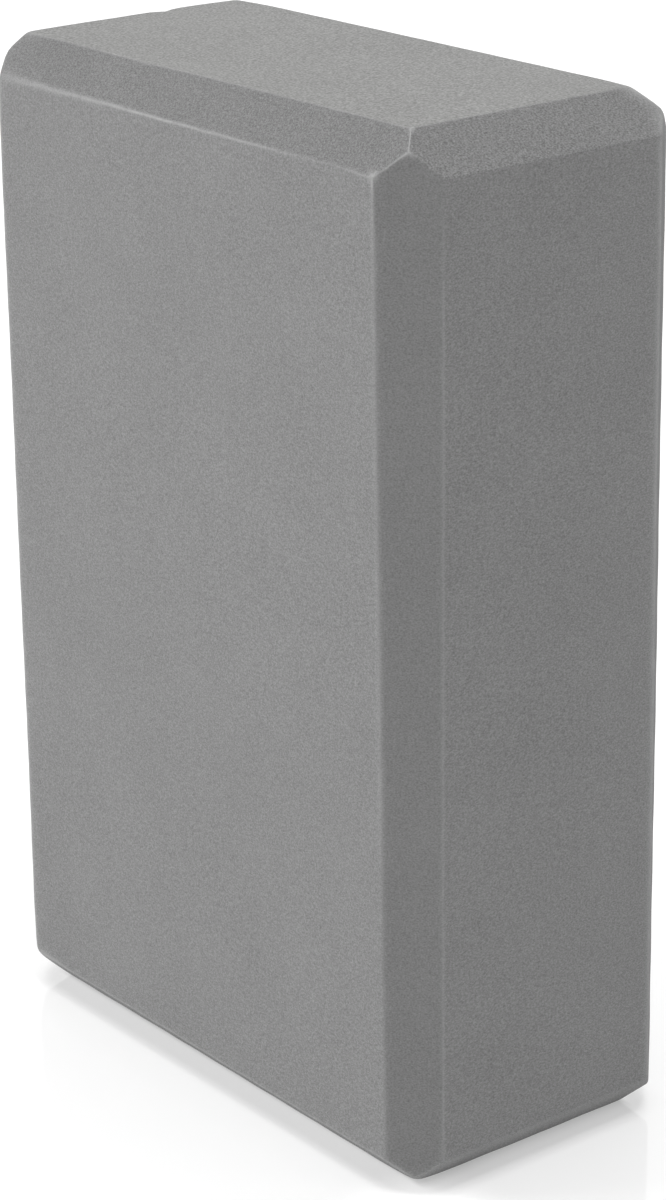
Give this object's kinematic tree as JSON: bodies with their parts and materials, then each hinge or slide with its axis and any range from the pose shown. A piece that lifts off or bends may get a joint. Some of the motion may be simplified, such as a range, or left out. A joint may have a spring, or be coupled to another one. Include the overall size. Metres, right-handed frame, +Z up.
{
  "type": "yoga block",
  "caption": "Grey closed-cell foam brick with bevelled edges, a yoga block that supports a hand, foot or hip and stands on any of its faces.",
  "frame": {"origin": "centre of the end face that the block stands on", "axes": "+Z up along the block's length, X across the broad faces, Y through the thickness; the broad face seen in the picture looks along -Y and the narrow side seen there along +X"},
  "size_m": [0.15, 0.076, 0.228],
  "materials": {
    "eva_foam": "matte, fine cut cells"
  },
  "bodies": {
    "root": {"foam_block": "eva_foam"}
  },
  "joints": []
}
